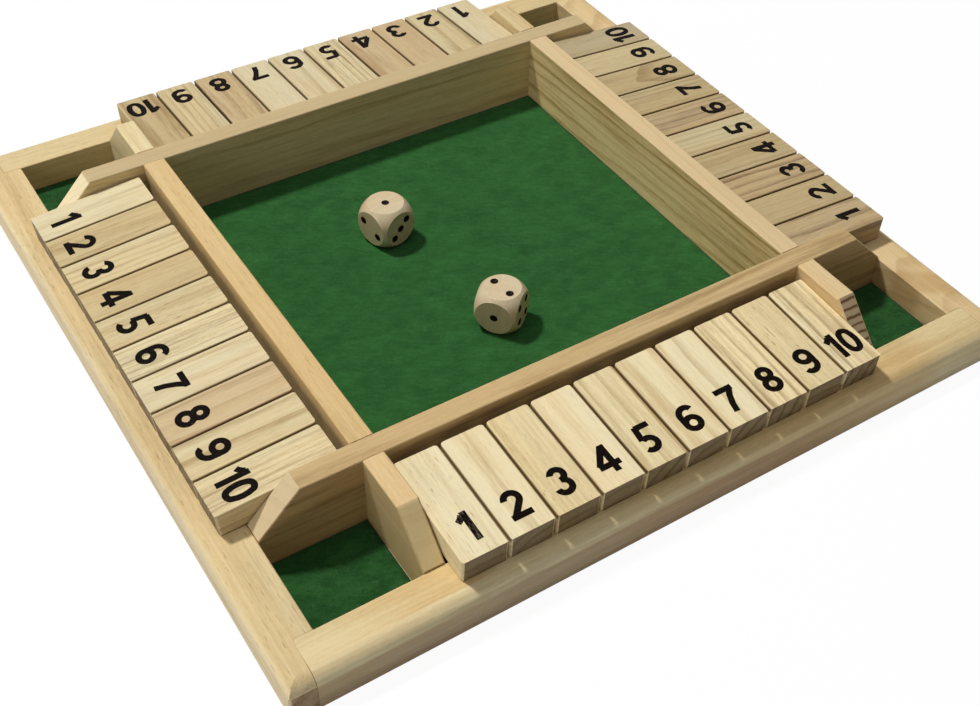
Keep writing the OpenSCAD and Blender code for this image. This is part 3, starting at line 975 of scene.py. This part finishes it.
# %% Draw the figures
FIGURE_HEIGHT = 10.9
NOUGHT_BESIDE_ONE = 5.1
FIGURE_STRETCH = 1.05, 1.02
STROKES = {
    "1": [(3.35, 0.0, 90, FIGURE_HEIGHT), (0.55, 7.75, 28, (5.0, 36))],
    "2": [(1.10, 7.40, 85, (2.3, -215), 6.5), (0.1, 1.0, 0, 6.8)],
    "3": [(1.25, 8.45, 73, (2.1, -253)), (3.1, 5.75, 0, (2.35, -262))],
    "4": [(4.9, 0.0, 90, FIGURE_HEIGHT), (4.75, 10.4, 238.5, 8.1), (0.1, 3.1, 0, 7.3)],
    "5": [(6.4, 9.9, 180, 4.9), (1.7, 10.4, 264, 5.6), (1.15, 4.7, 38, (2.4, -30), (2.4, -240))],
    "6": [(5.65, 3.35, 90, (2.35, 360)), (0.95, 3.35, 90, 3.6, (2.85, -90), (1.9, -70))],
    "7": [(0.1, 9.9, 0, 6.8), (6.05, 10.1, 235, (21.0, 28))],
    "8": [(5.65, 3.3, 90, (2.35, 360)), (5.35, 7.9, 90, (2.05, 360))],
    "0": [(5.6, 5.45, 90, (9.07, 21.4), (1.8, 137.2), (9.07, 42.8), (1.8, 137.2), (9.07, 21.4))],
}


def centred(mesh):
    """Moves a figure so that its middle is over the origin, and its foot on the X axis.

    It is also stretched a little, to the size measured on the board."""
    across = [vertex.co.x for vertex in mesh.vertices]
    foot = min(vertex.co.y for vertex in mesh.vertices)
    mesh.transform(Matrix.Translation((-(min(across) + max(across)) / 2, -foot, 0)))
    mesh.transform(Matrix.Diagonal((*FIGURE_STRETCH, 1, 1)))
    return mesh


figures = {name: join_strokes("figure_" + name, strokes) for name, strokes in STROKES.items()}
figures["9"] = figures["6"].copy()
figures["9"].transform(Matrix.Rotation(math.pi, 4, "Z"))
ten = bmesh.new()
ten.from_mesh(figures["1"])
figures["0"].transform(Matrix.Translation((NOUGHT_BESIDE_ONE, 0, 0)))
ten.from_mesh(figures["0"])
figures["10"] = bpy.data.meshes.new("figure_10")
ten.to_mesh(figures["10"])
ten.free()
del figures["0"]
for name, mesh in figures.items():
    centred(mesh)
    width = 2 * max(vertex.co.x for vertex in mesh.vertices)
    print(name, "is", round(width, 2), "mm wide,", len(mesh.polygons), "faces")

# %% [markdown]
# ## Printing the numbers on the tiles
#
# The ink sits just proud of the wood. Each figure is copied, laid on its tile with the
# matrix measured from that tile, and made to ride on it, so it flips up with the tile.
# The ink is thin: it misses the odd raised fibre, and there the wood shows through as a
# brown speck. On the front row's 1 the stamp had run dry and left streaks.

# %% Print the numbers
FOOT_FROM_END = 4.95
BACK_ROW_SHIFT = 1.7


def ink_material(name, per_mm, start, end):
    """Black ink with worn specks, or streaks, where the noise goes from start to end."""
    material, tree, shader = start_material(name)
    place_mm = in_mm(tree, object_place(tree))
    speck = spots(tree, place_mm, per_mm, 6.0, roughness=0.6)
    worn = step(tree, speck, start, end, 0.0, 0.65)
    colour = mix_colour(tree, worn, rgb(0.005, 0.003, 0.002), rgb(0.17, 0.13, 0.09))
    matt = step(tree, speck, 0.3, 0.7, 0.35, 0.6)
    bump = add_node(tree, "Bump", {"Height": speck, "Strength": 0.2, "Distance": 0.05 * MM})
    fill(tree, shader, {"Base Color": colour, "Roughness": matt, "Normal": bump.outputs[0],
                        "Specular IOR Level": 0.02})
    return material


ink = ink_material("number_ink", (2.2, 2.2, 2.2), 0.62, 0.74)
streaked_ink = ink_material("number_ink_streaked", (2.6, 0.35, 2.6), 0.50, 0.62)


def ride_as_piece(name, mesh, body, material):
    """Puts a finished mesh in the scene as a piece that moves with a body."""
    piece = bpy.data.objects.new(name, mesh)
    scene.collection.objects.link(piece)
    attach(piece, body)
    dress(piece, material)
    return piece


for tile_name, (place, half) in tile_places.items():
    number = tile_name.split("_")[-1]
    mesh = figures[number].copy()
    lay = Matrix((-place.col[1].to_3d(), place.col[0].to_3d(), place.col[2].to_3d())).transposed().to_4x4()
    from_end = FOOT_FROM_END - (BACK_ROW_SHIFT if "back" in tile_name else 0.0)
    foot = place @ Vector((-half.x + from_end * MM, 0, half.z - INK_THICK * MM / 2))
    mesh.transform(Matrix.Translation(foot) @ lay @ Matrix.Scale(MM, 4))
    ride_as_piece(tile_name.replace("tile", "number"), mesh, tile_name,
                  streaked_ink if tile_name == "tile_front_1" else ink)
print(len(tile_places), "numbers printed")

# %% [markdown]
# ## The dice
#
# The dice are little wooden cubes rounded by a ball, waxed smooth. Their wood is finer
# than the pine of the board and almost without rings. The pips are shallow dishes in the
# CAD model. Here each dish gets a thin black skin: an arc of the dish's own section, spun
# all the way round.

# %% Finish the dice
TONES["waxed"] = (0.62, 0.51, 0.32), (0.46, 0.35, 0.20)
PIP_RADIUS, PIP_DEPTH, PIP_SPREAD = 1.45, 0.6, 3.1
DISH_RADIUS = (PIP_RADIUS ** 2 + PIP_DEPTH ** 2) / (2 * PIP_DEPTH)
DISH_ABOVE = DISH_RADIUS - PIP_DEPTH + 0.03
ARC_PARTS, PIP_SIDES = 6, 24
TWO_CORNERS = [(1, 1), (-1, -1)]
FOUR_CORNERS = TWO_CORNERS + [(1, -1), (-1, 1)]
PIP_PLACES = {1: [(0, 0)], 2: [(0.66, 1.2), (-0.66, -1.2)], 3: [(0, 0)] + TWO_CORNERS,
              4: FOUR_CORNERS, 5: [(0, 0)] + FOUR_CORNERS, 6: FOUR_CORNERS + [(1, 0), (-1, 0)]}
FACE_TURNS = {1: (0, 0, 0), 6: (180, 0, 0), 3: (90, 0, 0), 4: (-90, 0, 0), 2: (0, -90, 0), 5: (0, 90, 0)}


def turned(*angles):
    """The matrix of a turn by three angles in degrees."""
    return Euler([math.radians(angle) for angle in angles]).to_matrix().to_4x4()


DICE_TURNS = {"die_a": turned(0, 0, 14), "die_b": turned(0, 0, 37) @ turned(180, 90, 0)}

pip_black, tree, shader = start_material("pip_black")
place_mm = in_mm(tree, object_place(tree))
dull = spots(tree, place_mm, (1.5, 1.5, 1.5), 3.0)
colour = mix_colour(tree, dull, rgb(0.006, 0.003, 0.003), rgb(0.014, 0.008, 0.006))
matt = step(tree, dull, 0.3, 0.7, 0.30, 0.45)
fill(tree, shader, {"Base Color": colour, "Roughness": matt, "Specular IOR Level": 0.04})


def pip_skins(turn, middle, half):
    """All the pips of a die, as one mesh."""
    skins = bmesh.new()
    arc = [part / ARC_PARTS * math.asin(PIP_RADIUS / DISH_RADIUS) for part in range(ARC_PARTS + 1)]
    rays = [Vector((math.sin(angle), 0, -math.cos(angle))) for angle in arc]
    for count, angles in FACE_TURNS.items():
        face = turn @ turned(*angles)
        for across, up in PIP_PLACES[count]:
            centre = Vector((across * PIP_SPREAD, up * PIP_SPREAD, half + DISH_ABOVE))
            section = [skins.verts.new(centre + DISH_RADIUS * ray) for ray in rays]
            edges = [skins.edges.new(pair) for pair in zip(section, section[1:])]
            before = set(skins.verts) - set(section)
            bmesh.ops.spin(skins, geom=section + edges, cent=centre, axis=(0, 0, 1), angle=math.tau,
                           steps=PIP_SIDES, use_merge=True)
            made = [vertex for vertex in skins.verts if vertex not in before]
            bmesh.ops.transform(skins, matrix=Matrix.Translation(middle / MM) @ face, verts=made)
    bmesh.ops.remove_doubles(skins, verts=skins.verts, dist=0.002)
    bmesh.ops.recalc_face_normals(skins, faces=skins.faces)
    mesh = bpy.data.meshes.new("pips")
    skins.to_mesh(mesh)
    skins.free()
    for polygon in mesh.polygons:
        polygon.use_smooth = True
    mesh.transform(Matrix.Scale(MM, 4))
    return mesh


for number, (die, turn) in enumerate(DICE_TURNS.items()):
    low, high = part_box(die)
    middle = (low + high) / 2
    waxed = wood_material(die, "waxed plain", 201.5 + 9.1 * number, middle, turn.to_euler(), sheen=0.4)
    tree = waxed.node_tree
    fill(tree, tree.nodes["Principled BSDF"], {"Coat Weight": 0.6, "Coat Roughness": 0.15})
    dress(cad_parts[die], waxed)
    skins = pip_skins(turn, middle, (high.z - low.z) / 2 / MM)
    pips = ride_as_piece(die + "_pips", skins, die, pip_black)
    print(die, "at", [round(v / MM, 1) for v in middle], "with", len(pips.data.polygons), "pip faces")

# %% [markdown]
# ## Check the size and finish
#
# Dressing must not make the board bigger. The difference between the box round the CAD
# model and the one round the finished pieces is printed, and it should be nought.

# %% Print the size change and finish
low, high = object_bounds()
print("size change", [round((a - b) / MM, 3) for a, b in zip(high - low, cad_high - cad_low)], "mm")
